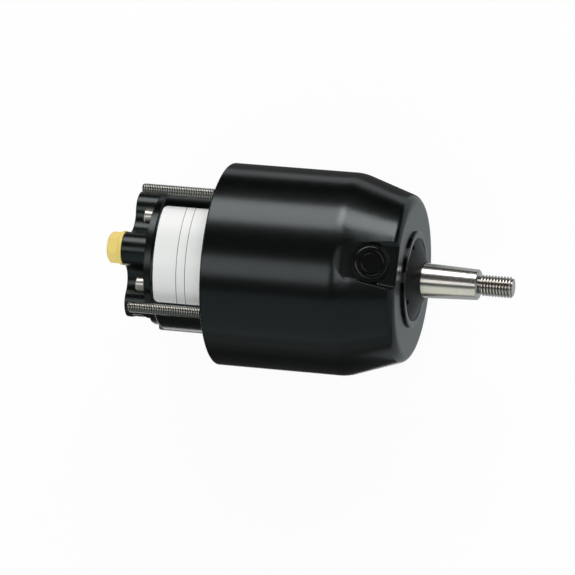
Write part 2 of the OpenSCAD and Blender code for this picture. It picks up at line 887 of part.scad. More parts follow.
module piston_1() { piston(0); }
module piston_2() { piston(1); }
module piston_3() { piston(2); }
module piston_4() { piston(3); }
module piston_5() { piston(4); }
module piston_6() { piston(5); }
module piston_7() { piston(6); }

// Springs that push the pistons out against the thrust race
module piston_springs() {
    wire_r = 0.6;
    color(steel)
        upright()
            ring_of(piston_count, piston_ring_r)
                translate([0, 0, cylinder_floor + run_gap])
                    coil_spring(piston_bore_d / 2 - wire_r - 0.5, wire_r,
                                piston_back + piston_hollow - cylinder_floor - 2 * run_gap, 6);
}

// Wedge that tilts the thrust bearing, seated on the front wall round the bearing boss
module swash_plate() {
    color(aluminium)
        upright()
            difference() {
                bore(swash_d / 2, contact_z - swash_d, wall_z);
                bore(bearing_boss_r + loose_gap, contact_z - swash_d - past, wall_z + past);
                at_swash()
                    translate([-swash_d, -swash_d, -2 * swash_d])
                        cube(2 * swash_d);
                translate([-swash_d, swash_flat, contact_z - swash_d])
                    cube(2 * swash_d);
                at_turns(swash_screw_turns, swash_screw_r) {
                    bore(screw_d / 2 + loose_gap, contact_z - swash_d, wall_z + past);
                    bore(head_d / 2 + loose_gap, contact_z - swash_d, wall_z - swash_clamp);
                }
            }
}

module swash_screws() {
    color(steel)
        upright()
            at_turns(swash_screw_turns, swash_screw_r)
                translate([0, 0, wall_z - swash_clamp])
                    mirror([0, 0, 1])
                        cap_screw(swash_clamp + swash_screw_depth - swash_screw_room);
}

// Race that rests on the swash plate
module fixed_race() {
    color(steel)
        upright()
            at_swash()
                difference() {
                    ring(race_d / 2, race_bore_d / 2, -race_t, 0);
                    groove(race_pitch_r, thrust_ball_r + move_gap, ball_plane);
                }
}

module thrust_balls_set() {
    color(bright_steel)
        upright()
            at_swash()
                ring_of(thrust_balls, race_pitch_r)
                    translate([0, 0, ball_plane])
                        sphere(r = thrust_ball_r);
}

module thrust_cage() {
    cage_t = race_gap / 2 - move_gap;
    color(bronze)
        upright()
            at_swash()
                difference() {
                    ring(race_d / 2 - 2, race_bore_d / 2 + 2, ball_plane - cage_t, ball_plane + cage_t);
                    ring_of(thrust_balls, race_pitch_r)
                        translate([0, 0, ball_plane])
                            cylinder(r = thrust_ball_r + run_gap, h = 4 * cage_t, center = true);
                }
}

// Race that turns with the pistons
module moving_race() {
    color(steel)
        upright()
            at_swash()
                difference() {
                    ring(race_d / 2, race_bore_d / 2, -race_stack, -race_t - race_gap);
                    groove(race_pitch_r, thrust_ball_r + move_gap, ball_plane);
                }
}

// Port plate with a suction and a pressure kidney
module port_plate() {
    color(bronze)
        upright()
            difference() {
                bore(block_r - 2, flange_t, flange_t + port_plate_t);
                bore(drive_d / 2 + 2, flange_t - past, flange_t + port_plate_t + past);
                for (side = [0, 180])
                    rotate([0, 0, side])
                        kidney();
                ring_of(2, pin_ring_r)
                    bore(pin_r, flange_t - past, flange_t + port_plate_t + past);
            }
}

module kidney() {
    translate([0, 0, flange_t - past])
        rotate([0, 0, -kidney_half])
            rotate_extrude(angle = 2 * kidney_half)
                translate([piston_ring_r - kidney_w / 2, 0])
                    square([kidney_w, port_plate_t + 2 * past]);
    for (turn = [-kidney_half, kidney_half])
        rotate([0, 0, turn])
            translate([piston_ring_r, 0, 0])
                bore(kidney_w / 2, flange_t - past, flange_t + port_plate_t + past);
}

module port_plate_pins() {
    color(dark_steel)
        upright()
            ring_of(2, pin_ring_r)
                bore(pin_r, flange_t - pin_seat, flange_t + port_plate_t - 0.5);
}

module rear_bush() {
    color(bronze)
        upright()
            ring(tail_d / 2 + bush_wall, tail_d / 2 + run_gap, flange_t - bush_len, flange_t);
}

// Axis of the lock valve: across the rear cover, its z to the right
module at_valve(side = 1) {
    translate([0, valve_h, valve_z])
        rotate([0, 90 * side, 0])
            children();
}

// Shuttle that lifts the far check poppet when one side is under pressure
module valve_spool() {
    pin_r_out = 1.4;
    land = spool_len / 3;
    color(steel)
        upright()
            at_valve()
                difference() {
                    union() {
                        bore(valve_r - run_gap, -spool_len / 2, spool_len / 2);
                        bore(pin_r_out, -spool_len / 2 - push_pin_len, spool_len / 2 + push_pin_len);
                    }
                    ring(valve_r + past, valve_r - 1, -land / 2, land / 2);
                }
}

module valve_seats() {
    color(bronze)
        upright()
            for (side = [-1, 1])
                at_valve(side)
                    difference() {
                        ring(valve_r, seat_hole_r, seat_in, seat_out);
                        translate([0, 0, seat_out - seat_hole_r / 2])
                            cylinder(r1 = seat_hole_r, r2 = seat_hole_r + 1, h = seat_hole_r / 2 + 0.01);
                    }
}

module poppet(side) {
    nose_r1 = 1.2;
    guide_r = 1.8;
    color(bright_steel)
        upright()
            at_valve(side)
                rotate_extrude()
                    polygon([[0, poppet_shoulder - poppet_r / 2 - 1], [nose_r1, poppet_shoulder - poppet_r / 2 - 1],
                             [poppet_r, poppet_shoulder + move_gap], [poppet_r, poppet_end], [guide_r, poppet_end],
                             [guide_r, poppet_end + 1.6], [0, poppet_end + 1.6]]);
}

module poppet_left() { poppet(-1); }
module poppet_right() { poppet(1); }

module poppet_springs() {
    wire_r = 0.4;
    color(steel)
        upright()
            for (side = [-1, 1])
                at_valve(side)
                    translate([0, 0, poppet_end + run_gap])
                        coil_spring(poppet_r - wire_r - 0.8, wire_r, valve_spring_len - 2 * run_gap, 5);
}

// Plugs that close the cross bore in the two side lobes
module valve_end_plugs() {
    plug_socket_af = 5;
    color(dark_steel)
        upright()
            for (side = [-1, 1])
                at_valve(side)
                    difference() {
                        bore(valve_r, end_plug_in, end_plug_out);
                        translate([0, 0, end_plug_out - 2.5])
                            cylinder(d = plug_socket_af / cos(30), h = 2.5 + past, $fn = 6);
                    }
}

// Screwed filler cap: a rim round a stepped middle, on a threaded shank
module filler_cap() {
    rim = 2.2;
    dish_d = 10.6;
    dish_depth = 1;
    edge = 0.8;
    seat = filler_seat + filler_ring_r;
    top = seat + cap_h;
    color(black_plastic)
        upright()
            at_filler()
                difference() {
                    union() {
                        rotate_extrude()
                            filleted([[0, seat], [cap_d / 2, seat], [cap_d / 2, top], [0, top]], [0, 0, edge, 0]);
                        bore(filler_thread_d / 2, -filler_boss_depth, seat + past / 2);
                    }
                    ring(cap_d / 2 - rim, dish_d / 2, top - dish_depth, top + past);
                    groove(filler_thread_d / 2 + filler_ring_r, filler_ring_r + run_gap, filler_seat + filler_ring_r);
                }
}

module filler_o_ring() {
    color(rubber)
        upright()
            at_filler()
                groove(filler_thread_d / 2 + filler_ring_r, filler_ring_r, filler_seat + filler_ring_r + run_gap);
}

front_housing();
pump_body();
rear_cover();
cover_screws();
flange_screws();
mounting_studs();
port_plug();
nameplate();
flange_o_ring();
cover_o_ring();
lock_ring();
seal_carrier();
shaft_seal();
bearing_outer_ring();
bearing_inner_ring();
bearing_balls_set();
bearing_cage();
bearing_circlip();
wheel_shaft();
drive_key();
cylinder_block();
piston_1();
piston_2();
piston_3();
piston_4();
piston_5();
piston_6();
piston_7();
piston_springs();
swash_plate();
swash_screws();
fixed_race();
thrust_balls_set();
thrust_cage();
moving_race();
port_plate();
port_plate_pins();
rear_bush();
valve_spool();
valve_seats();
poppet_left();
poppet_right();
poppet_springs();
valve_end_plugs();
filler_cap();
filler_o_ring();
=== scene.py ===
# Hydraulic helm pump for a boat's dashboard, dressed for the studio.
# All places are in metres in the part's own frame: -Y runs along the wheel shaft, +Z is the filler's side.
import math

import bmesh
import bpy
from mathutils import Matrix, Vector


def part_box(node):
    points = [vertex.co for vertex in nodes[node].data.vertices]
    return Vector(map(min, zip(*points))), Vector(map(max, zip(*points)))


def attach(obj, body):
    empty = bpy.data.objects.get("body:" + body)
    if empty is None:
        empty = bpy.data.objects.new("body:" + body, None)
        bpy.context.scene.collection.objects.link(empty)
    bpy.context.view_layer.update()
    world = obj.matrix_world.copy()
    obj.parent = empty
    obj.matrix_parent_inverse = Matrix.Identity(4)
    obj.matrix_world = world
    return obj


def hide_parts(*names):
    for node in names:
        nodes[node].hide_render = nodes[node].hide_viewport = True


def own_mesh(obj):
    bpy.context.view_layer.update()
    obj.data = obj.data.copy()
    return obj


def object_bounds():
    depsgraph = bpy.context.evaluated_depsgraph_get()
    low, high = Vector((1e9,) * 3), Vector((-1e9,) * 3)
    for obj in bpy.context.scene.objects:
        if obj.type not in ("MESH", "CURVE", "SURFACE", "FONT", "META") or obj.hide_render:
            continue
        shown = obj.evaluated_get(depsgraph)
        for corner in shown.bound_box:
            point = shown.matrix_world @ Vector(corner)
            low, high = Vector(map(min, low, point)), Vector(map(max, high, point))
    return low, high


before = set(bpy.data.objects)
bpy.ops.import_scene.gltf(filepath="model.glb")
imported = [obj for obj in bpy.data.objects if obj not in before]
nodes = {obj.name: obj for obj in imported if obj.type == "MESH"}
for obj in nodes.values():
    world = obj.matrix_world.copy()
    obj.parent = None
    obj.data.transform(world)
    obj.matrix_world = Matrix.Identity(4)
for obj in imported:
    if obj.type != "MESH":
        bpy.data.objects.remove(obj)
cad_low, cad_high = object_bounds()

# Camera: a long lens that looks steeply down on the pump, as in the photograph.
# Its place and its picture axes come from fitting the barrel, nose, shaft and studs to the photograph.
lens_mm = 280.36
sensor_mm = 36
camera_spot = Vector((-0.35318, -0.66961, 2.42832))
picture_right = Vector((0.11866, -0.96481, -0.23467)).normalized()
picture_up = Vector((0.98368, 0.08203, 0.16014)).normalized()

camera_data = bpy.data.cameras.new("camera")
camera_data.lens = lens_mm
camera_data.sensor_width = sensor_mm
camera_data.clip_end = 20
camera = bpy.data.objects.new("camera", camera_data)
bpy.context.scene.collection.objects.link(camera)
picture_back = picture_right.cross(picture_up)
camera.matrix_world = Matrix((picture_right, picture_up, picture_back)).transposed().to_4x4()
camera.location = camera_spot
bpy.context.scene.camera = camera
bpy.context.scene.view_settings.view_transform = "Standard"

# Floor: matt white studio board that the barrel lies on.
# It is seen as near white, and a part of its own shading stays, so the pump's soft shadow shows.
floor_half = 6.0
floor_white = 0.93
shown_share = 0.945
mm = 0.001
same_spot = 0.001 * mm


def linear(hex_colour):
    """Turns an sRGB hex colour into linear RGBA."""
    parts = [int(hex_colour[i:i + 2], 16) / 255 for i in (1, 3, 5)]
    return [c / 12.92 if c <= 0.04045 else ((c + 0.055) / 1.055) ** 2.4 for c in parts] + [1.0]


def add_node(tree, kind, inputs=None, **settings):
    """Adds a node: settings are its options, inputs are values or sockets of other nodes by socket name."""
    made = tree.nodes.new(kind)
    for name, value in settings.items():
        setattr(made, name, value)
    for name, value in (inputs or {}).items():
        if isinstance(value, bpy.types.NodeSocket):
            tree.links.new(value, made.inputs[name])
        else:
            made.inputs[name].default_value = value
    return made


def new_material(name):
    """An empty node material: returns it and its node tree."""
    material = bpy.data.materials.new(name)
    material.use_nodes = True
    material.node_tree.nodes.clear()
    return material, material.node_tree


def new_piece(name, mesh_maker):
    """Turns a bmesh into an object at the origin: doubles merged, normals out, smooth between sharp edges.
    Its normals follow the larger faces, so flats stay flat beside small roundings."""
    sharp_from = math.radians(30)
    bmesh.ops.remove_doubles(mesh_maker, verts=mesh_maker.verts, dist=same_spot)
    bmesh.ops.recalc_face_normals(mesh_maker, faces=mesh_maker.faces)
    mesh = bpy.data.meshes.new(name)
    mesh_maker.to_mesh(mesh)
    mesh_maker.free()
    if "custom_normal" in mesh.attributes:
        mesh.attributes.remove(mesh.attributes["custom_normal"])
    mesh.shade_smooth()
    mesh.set_sharp_from_angle(angle=sharp_from)
    piece = bpy.data.objects.new(name, mesh)
    bpy.context.scene.collection.objects.link(piece)
    piece.modifiers.new("even_normals", "WEIGHTED_NORMAL").keep_sharp = True
    return piece


floor_maker = bmesh.new()
bmesh.ops.create_grid(floor_maker, x_segments=1, y_segments=1, size=floor_half)
bmesh.ops.translate(floor_maker, verts=floor_maker.verts, vec=(0, 0, cad_low.z))
floor = new_piece("floor", floor_maker)
board, tree = new_material("matt white studio board")
ray = add_node(tree, "ShaderNodeLightPath")
seen = add_node(tree, "ShaderNodeMath", {0: ray.outputs["Is Camera Ray"], 1: ray.outputs["Is Glossy Ray"]},
                operation="MAXIMUM")
seen = add_node(tree, "ShaderNodeMath", {0: seen.outputs[0], 1: ray.outputs["Is Transmission Ray"]},
                operation="MAXIMUM")
share = add_node(tree, "ShaderNodeMath", {0: seen.outputs[0], 1: shown_share}, operation="MULTIPLY")
matt = add_node(tree, "ShaderNodeBsdfDiffuse", {"Color": (floor_white, floor_white, floor_white, 1)})
glow = add_node(tree, "ShaderNodeEmission", {"Strength": 1.0})
mixed = add_node(tree, "ShaderNodeMixShader", {0: share.outputs[0], 1: matt.outputs[0], 2: glow.outputs[0]})
add_node(tree, "ShaderNodeOutputMaterial", {"Surface": mixed.outputs[0]})
floor.data.materials.append(board)

# Studio light: a long softbox above the barrel, a narrow one beside the camera, dim cards that fill the sides.
# Each is given by the turn round the shaft and the lean along it at which it stands, and by its brightness.
# The matt fill lights matt surfaces only, and the small shaft card lights the shaft alone.
shaft_way = Vector((0, -1, 0))
to_viewer = (picture_back - picture_back.dot(shaft_way) * shaft_way).normalized()
to_top = to_viewer.cross(shaft_way).normalized()
if to_top.dot(picture_up) < 0:
    to_top = -to_top


def softbox(name, turn, lean, span, length, far, brightness, tint=(1, 1, 1), aim=(0, -0.05, 0)):
    """A rectangular light at a turn from the viewer up over the barrel, leaning along the shaft."""
    across = to_viewer * math.cos(math.radians(turn)) + to_top * math.sin(math.radians(turn))
    way = across * math.cos(math.radians(lean)) + shaft_way * math.sin(math.radians(lean))
    width = 2 * far * math.tan(math.radians(span / 2))
    data = bpy.data.lights.new(name, "AREA")
    data.shape = "RECTANGLE"
    data.size = length
    data.size_y = width
    data.energy = brightness * math.pi * width * length
    data.color = tint
    lamp = bpy.data.objects.new(name, data)
    bpy.context.scene.collection.objects.link(lamp)
    side = (shaft_way - shaft_way.dot(way) * way).normalized()
    lamp.matrix_world = Matrix((side, way.cross(side), way)).transposed().to_4x4()
    lamp.location = Vector(aim) + way * far
    lamp.visible_camera = False
    return lamp


softbox("long_softbox", turn=62.5, lean=-8, span=28, length=1.05, far=1.3, brightness=4.0)
softbox("hot_centre", turn=66, lean=5, span=20, length=0.3, far=1.25, brightness=4.0)
softbox("nose_softbox", turn=67, lean=25, span=21, length=0.46, far=1.3, brightness=5.6)
softbox("narrow_softbox", turn=-3, lean=-20, span=20, length=0.9, far=1.3, brightness=1.7)
softbox("narrow_nose_softbox", turn=2, lean=21, span=22, length=0.46, far=1.3, brightness=2.6)
softbox("fill_card", turn=-66, lean=0, span=70, length=1.7, far=1.4, brightness=0.34, tint=(0.8, 1, 1))
softbox("front_card", turn=-66, lean=64, span=70, length=1.5, far=1.4, brightness=0.34, tint=(0.8, 1, 1))
shaft_card = softbox("shaft_card", turn=-66, lean=0, span=58, length=0.055, far=0.25, brightness=0.72,
                     tint=(1, 0.94, 0.82), aim=(0, -0.097, 0))
matt_fill = softbox("matt_fill", turn=-55, lean=-10, span=70, length=1.8, far=1.8, brightness=1.5)
matt_fill.visible_glossy = False

# Table cards: painted reflections, glowing dark and grey sheets on the table that only the pump's gloss sees,
# standing in for the flags studios use for black goods.
# They paint the sides of the barrel dark between thin light lanes, and paint a toned-down table under the front
# face.
card_lift = 2 * mm
card_front, card_rear, card_far = -3.0, 3.0, 5.5
# Name, span across the shaft, span along it, colour.
table_cards = (
    ("top_near_card", 0.06, 0.155, -0.105, card_rear, (0.1, 0.1, 0.1)),
    ("top_lane_card", 0.155, 0.245, card_front, card_rear, (0.66, 0.7, 0.7)),
    ("top_dark_card", 0.245, card_far, card_front, card_rear, (0.004, 0.004, 0.004)),
    ("low_near_card", -0.17, -0.06, -0.105, card_rear, (0.05, 0.05, 0.05)),
    ("low_mid_card", -0.26, -0.17, card_front, card_rear, (0.12, 0.12, 0.12)),
    ("low_far_card", -card_far, -0.26, card_front, card_rear, (0.26, 0.27, 0.27)),
    ("face_card", -0.17, 0.155, card_front, -0.105, (0.46, 0.5, 0.515)))
for name, side_from, side_to, front, rear, colour in table_cards:
    card_maker = bmesh.new()
    bmesh.ops.create_grid(card_maker, x_segments=1, y_segments=1, size=0.5)
    bmesh.ops.scale(card_maker, verts=card_maker.verts, vec=(side_to - side_from, rear - front, 1))
    bmesh.ops.translate(card_maker, verts=card_maker.verts,
                        vec=((side_from + side_to) / 2, (front + rear) / 2, cad_low.z + card_lift))
    card = new_piece(name, card_maker)
    painted_reflection, tree = new_material(name.replace("_", " ") + " paper")
    # Each sheet glows in its colour as a painted reflection; it casts no light or shadow.
    shade = add_node(tree, "ShaderNodeEmission", {"Color": (*colour, 1), "Strength": 1.0})
    add_node(tree, "ShaderNodeOutputMaterial", {"Surface": shade.outputs[0]})
    card.data.materials.append(painted_reflection)
    card.visible_camera = False
    card.visible_diffuse = False
    card.visible_transmission = False
    card.visible_shadow = False

# Room: white where the camera looks past the board, as the backdrop is.
# To everything else it is the dark room of a studio, so the black coat keeps its depth.
room_dark = 0.05
world = bpy.data.worlds.new("studio")
world.use_nodes = True
bpy.context.scene.world = world
tree = world.node_tree
tree.nodes.clear()
ray = add_node(tree, "ShaderNodeLightPath")
strength = add_node(tree, "ShaderNodeMapRange", {"Value": ray.outputs["Is Camera Ray"], "To Min": room_dark,
                                                "To Max": 1.0})
sky = add_node(tree, "ShaderNodeBackground", {"Color": (1, 1, 1, 1), "Strength": strength.outputs[0]})
add_node(tree, "ShaderNodeOutputWorld", {"Surface": sky.outputs[0]})


# Front housing: aluminium casting, turned outside and coated satin black.
# It is the oil reservoir too, and its tapered nose carries the filler pocket, milled with steep walls.
# Its shoulder, the edge of the nose and the edges of the pocket are rounded before it is coated.
def satin_black_coat(name, colour, rough, grain_mm, grain_depth_mm):
    """Thin satin coat on aluminium: very dark, fine grained, with soft broad highlights."""
    cloud_mm, edge_mm = 9, 0.7
    cloudy = 0.03
    material, tree = new_material(name)
    place = add_node(tree, "ShaderNodeTexCoord")
    grain = add_node(tree, "ShaderNodeTexNoise",
                     {"Vector": place.outputs["Object"], "Scale": 1 / (grain_mm * mm), "Detail": 3.0})
    cloud = add_node(tree, "ShaderNodeTexNoise",
                     {"Vector": place.outputs["Object"], "Scale": 1 / (cloud_mm * mm), "Detail": 2.0})
    roughness = add_node(tree, "ShaderNodeMapRange",
                         {"Value": cloud.outputs["Fac"], "To Min": rough - cloudy, "To Max": rough + cloudy})
    bump = add_node(tree, "ShaderNodeBump",
                    {"Height": grain.outputs["Fac"], "Strength": 0.35, "Distance": grain_depth_mm * mm})
    edge = add_node(tree, "ShaderNodeBevel", {"Radius": edge_mm * mm, "Normal": bump.outputs[0]}, samples=4)
    coat = add_node(tree, "ShaderNodeBsdfPrincipled",
                    {"Base Color": linear(colour), "Roughness": roughness.outputs[0], "IOR": 1.5,
                     "Specular Tint": (0.9, 1.0, 1.0, 1), "Normal": edge.outputs[0]})
    add_node(tree, "ShaderNodeOutputMaterial", {"Surface": coat.outputs[0]})
    return material


def cad_copy(node):
    """A copy of a CAD node's mesh as one closed skin, its flat triangles joined to whole faces."""
    flat_to = math.radians(0.2)
    skin = bmesh.new()
    skin.from_mesh(nodes[node].data)
    bmesh.ops.remove_doubles(skin, verts=skin.verts, dist=same_spot)
    bmesh.ops.dissolve_limit(skin, angle_limit=flat_to, verts=skin.verts, edges=skin.edges)
    return skin


def soften(skin, picked, width, segments):
    """Rounds the picked edges of a skin."""
    bmesh.ops.bevel(skin, geom=[edge for edge in skin.edges if picked(edge)], offset=width,
                    offset_type="OFFSET", segments=segments, profile=0.5, affect="EDGES", clamp_overlap=True,
                    material=-1)


def dress(names, material):
    """Gives CAD nodes their finished material."""
    for name in names:
        slots = nodes[name].data.materials
        slots.clear()
        slots.append(material)


housing_coat = satin_black_coat("satin black coated aluminium", "#030404", rough=0.22, grain_mm=0.5,
                                grain_depth_mm=0.012)
barrel_r = 57.5 * mm
shoulder_y = 75.8 * mm
shoulder_rounding = 25 * mm
nose_front_r = 46.4 * mm
nose_length = 33 * mm
nose_lean = math.atan2(barrel_r - nose_front_r, nose_length)
face_y = 108.8 * mm
nose_edge_start = 105 * mm
edge_rounding = 5.8 * mm
pocket_lean = math.radians(25.2)
pocket_flare = math.atan(1 / 1.9)
pocket_tip = -81.86 * mm
pocket_rounding = 0.9 * mm
pocket_reach = 16 * mm
floor_half_width = 9.9 * mm
floor_close = 0.02 * mm
floor_tolerance, wall_tolerance = math.radians(1), math.radians(2)
# Towards the front each rim of the pocket goes out by the spread, and the floor by a part of that.
rim_spread = 0.1497
floor_widening = 0.38

# The pocket's floor is widened towards its rims, which makes the two side walls steeper.
housing_skin = cad_copy("front_housing")
pocket_up = Vector((0, -math.sin(pocket_lean), math.cos(pocket_lean)))
pocket_floor = [face for face in housing_skin.faces if face.normal.angle(pocket_up) < floor_tolerance]
floor_spot = pocket_floor[0].verts[0].co.copy()
floor_spots = {spot for face in pocket_floor for spot in face.verts}
wall_edges = []
for side in (-1, 1):
    wall = pocket_up * math.cos(pocket_flare) + Vector((side, 0, 0)) * math.sin(pocket_flare)
    wall_faces = [face for face in housing_skin.faces
                  if face.normal.angle(wall) < wall_tolerance and face.calc_center_median().x * side < 0]
    wall_spots = {spot for face in wall_faces for spot in face.verts}
    for spot in wall_spots & floor_spots:
        edge_out = floor_widening * rim_spread * (pocket_tip - spot.co.y)
        spot.co.x *= (floor_half_width + edge_out) / abs(spot.co.x)
    corner = min(wall_spots & floor_spots, key=lambda spot: spot.co.y)
    for spot in wall_spots - floor_spots:
        out = abs(spot.co.x) - floor_half_width
        rim_out = rim_spread * (pocket_tip - spot.co.y)
        up_share = (out / rim_out - floor_widening) / (1 - floor_widening)
        if up_share > 0 or -spot.co.y < nose_edge_start:
            spot.co += pocket_up * (max(0, up_share) * rim_out - out) * math.tan(pocket_flare)
        else:
            spot.co = corner.co
    wall_edges += [edge for face in wall_faces for edge in face.edges]
bmesh.ops.remove_doubles(housing_skin, verts=housing_skin.verts, dist=same_spot)
wall_edges = {edge for edge in wall_edges
              if edge.is_valid and min(-spot.co.y for spot in edge.verts) < nose_edge_start}
soften(housing_skin, lambda edge: edge in wall_edges, pocket_rounding, segments=5)
housing_skin.normal_update()

# Rings are cut into the front face, the shoulder and the nose edge, then pulled in to the larger roundings.
facing_front = -0.9999
face_close = 0.01 * mm
front_face = [face for face in housing_skin.faces if face.normal.y < facing_front
              and max(-spot.co.y for spot in face.verts) > face_y - face_close]
square = math.pi / 2
edge_reach = edge_rounding * math.tan((square - nose_lean) / 2)
solid_edge_reach = 3.0 * mm
face_band = 0.5 * mm
for band in (edge_reach - solid_edge_reach, face_band):
    bmesh.ops.inset_region(housing_skin, faces=front_face, thickness=band, use_boundary=True,
                           use_even_offset=True)
shoulder_reach = shoulder_rounding * math.tan(nose_lean / 2)
rings = 6
ring_places = [shoulder_y + shoulder_reach * step / rings for step in range(-rings, rings + 1)]
ring_places += [face_y - edge_rounding * (1 - math.sin(nose_lean)) * step / rings
                for step in range(1, rings + 1)]
for place in ring_places:
    bmesh.ops.bisect_plane(housing_skin, plane_co=(0, -place, 0), plane_no=(0, 1, 0),
                           geom=housing_skin.verts[:] + housing_skin.edges[:] + housing_skin.faces[:])
roundings = ((shoulder_y - shoulder_reach, barrel_r - shoulder_rounding, shoulder_rounding,
              square - nose_lean, square),
             (face_y - edge_rounding, nose_front_r - edge_reach, edge_rounding, 0, square - nose_lean))
for spot in housing_skin.verts:
    on_floor = abs((spot.co - floor_spot).dot(pocket_up)) < floor_close
    if on_floor and abs(spot.co.x) < pocket_reach and spot.co.z > 0:
        continue
    radius = math.hypot(spot.co.x, spot.co.z)
    for ahead, centre_r, rounding, turn_from, turn_to in roundings:
        along, out = -spot.co.y - ahead, radius - centre_r
        reach = math.hypot(along, out)
        if reach > rounding and turn_from <= math.atan2(out, along) <= turn_to:
            shrink = (centre_r + out * rounding / reach) / radius
            spot.co = (spot.co.x * shrink, -ahead - along * rounding / reach, spot.co.z * shrink)
housing = new_piece("rounded_housing", housing_skin)
housing.data.materials.append(housing_coat)
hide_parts("front_housing")
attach(housing, "housing")


# Front bearing: a deep-groove ball bearing of chrome steel with a brass cage, pressed into the front wall.
# A circlip of black spring steel holds the shaft against its inner ring.
def turned_metal(name, colour, rough, ring_mm, thread=None):
    """Turned or ground metal: mirror-like along the shaft, drawn out by fine rings round it.
    A thread on the shaft's axis is given by the arguments of the thread colouring that follow the crests'
    colour; its roots get painted shade."""
    round_scale = 40
    smoother, rougher = 0.04, 0.05
    material, tree = new_material(name)
    place = add_node(tree, "ShaderNodeTexCoord")
    rings = add_node(tree, "ShaderNodeMapping",
                     {"Vector": place.outputs["Object"],
                      "Scale": (round_scale, 1 / (ring_mm * mm), round_scale)})
    lines = add_node(tree, "ShaderNodeTexNoise", {"Vector": rings.outputs[0], "Scale": 1.0, "Detail": 2.0})
    roughness = add_node(tree, "ShaderNodeMapRange",
                         {"Value": lines.outputs["Fac"], "To Min": rough - smoother, "To Max": rough + rougher})
    bump = add_node(tree, "ShaderNodeBump",
                    {"Height": lines.outputs["Fac"], "Strength": 0.12, "Distance": 0.004 * mm})
    shade = linear(colour)
    if thread:
        shade = painted_root_shade(tree, place.outputs["Object"], (0, 0, 0), colour, **thread)
    steel = add_node(tree, "ShaderNodeBsdfPrincipled",
                     {"Base Color": shade, "Metallic": 1.0, "Roughness": roughness.outputs[0],
                      "Normal": bump.outputs[0]})
    add_node(tree, "ShaderNodeOutputMaterial", {"Surface": steel.outputs[0]})
    return material


bearing_steel = turned_metal("ground chrome steel", "#bcbec0", 0.12, 0.4)
brass = turned_metal("machined brass", "#b8894a", 0.3, 0.5)
black_steel = turned_metal("black oxide steel", "#34353a", 0.35, 0.5)
dress(["bearing_outer_ring", "bearing_inner_ring", "bearing_balls_set"], bearing_steel)
dress(["bearing_cage"], brass)
dress(["bearing_circlip"], black_steel)


# Wheel shaft: stainless bar, turned and ground, with a 1:12 taper and a rolled M12 thread.
# The ground taper shows fine rings round the shaft, the thread has sharp bright crests over roots darkened with
# painted shade.
def cut_off(skin, place, way):
    """Cuts off all that lies past a plane and closes the cut."""
    bmesh.ops.bisect_plane(skin, geom=skin.verts[:] + skin.edges[:] + skin.faces[:], plane_co=place,
                           plane_no=way, clear_outer=True)
    bmesh.ops.holes_fill(skin, edges=[edge for edge in skin.edges if edge.is_boundary], sides=0)


def painted_root_shade(tree, spot, axis_spot, crest_colour, root_colour, root_r, crest_r, end):
    """Colour of a thread: crests and flat end in the steel's colour, roots darkened with painted shade, by the
    distance from its axis.
    """
    end_depth = 0.05 * mm
    flat = add_node(tree, "ShaderNodeVectorMath", {0: spot, 1: (1, 0, 1)}, operation="MULTIPLY")
    away = add_node(tree, "ShaderNodeVectorMath", {0: flat.outputs[0], 1: axis_spot}, operation="DISTANCE")
    height = add_node(tree, "ShaderNodeMapRange",
                      {"Value": away.outputs["Value"], "From Min": root_r, "From Max": crest_r})
    parts = add_node(tree, "ShaderNodeSeparateXYZ", {"Vector": spot})
    flat_end = add_node(tree, "ShaderNodeMath", {0: parts.outputs["Y"], 1: end, 2: end_depth},
                        operation="COMPARE")
    bright = add_node(tree, "ShaderNodeMath", {0: height.outputs[0], 1: flat_end.outputs[0]},
                      operation="MAXIMUM")
    # Painted shade: the roots take the darker colour, the crests and the flat end the steel's own.
    shade = add_node(tree, "ShaderNodeMix", {"Factor": bright.outputs[0], "A": linear(root_colour),
                                             "B": linear(crest_colour)}, data_type="RGBA")
    return shade.outputs["Result"]


def add_thread(skin, pitch, crest_r, depth, start, end, lead, steps, place):
    """Adds a right-hand thread along +Y: a toothed line, spun one turn while it moves on by one pitch.
    Both ends are cut square and pointed by the lead, then it goes to its place in the piece."""
    thread = bmesh.new()
    # Places along the pitch and heights of one tooth.
    tooth = ((0.0, 0), (0.2, 0), (0.5, 1), (0.7, 1))
    # More turns than needed at both ends, which the cuts take off.
    early, spare = 2, 3
    turns = math.ceil((end - start) / pitch) + spare
    line = [thread.verts.new((crest_r - depth * (1 - up), start + pitch * (turn - early + along), 0))
            for turn in range(turns) for along, up in tooth]
    edges = [thread.edges.new(pair) for pair in zip(line, line[1:])]
    bmesh.ops.spin(thread, geom=line + edges, cent=(0, 0, 0), axis=(0, 1, 0), angle=math.tau, steps=steps,
                   dvec=(0, pitch / steps, 0))
    bmesh.ops.remove_doubles(thread, verts=thread.verts, dist=same_spot)
    cut_off(thread, (0, start, 0), (0, -1, 0))
    cut_off(thread, (0, end, 0), (0, 1, 0))
    for spot in thread.verts:
        inside = min(spot.co.y - start, end - spot.co.y)
        limit = crest_r - max(0, lead - inside)
        radius = math.hypot(spot.co.x, spot.co.z)
        if radius > limit:
            spot.co.x *= limit / radius
            spot.co.z *= limit / radius
    bmesh.ops.transform(thread, matrix=place, verts=thread.verts)
    mesh = bpy.data.meshes.new("thread")
    thread.to_mesh(mesh)
    thread.free()
    skin.from_mesh(mesh)
    bpy.data.meshes.remove(mesh)


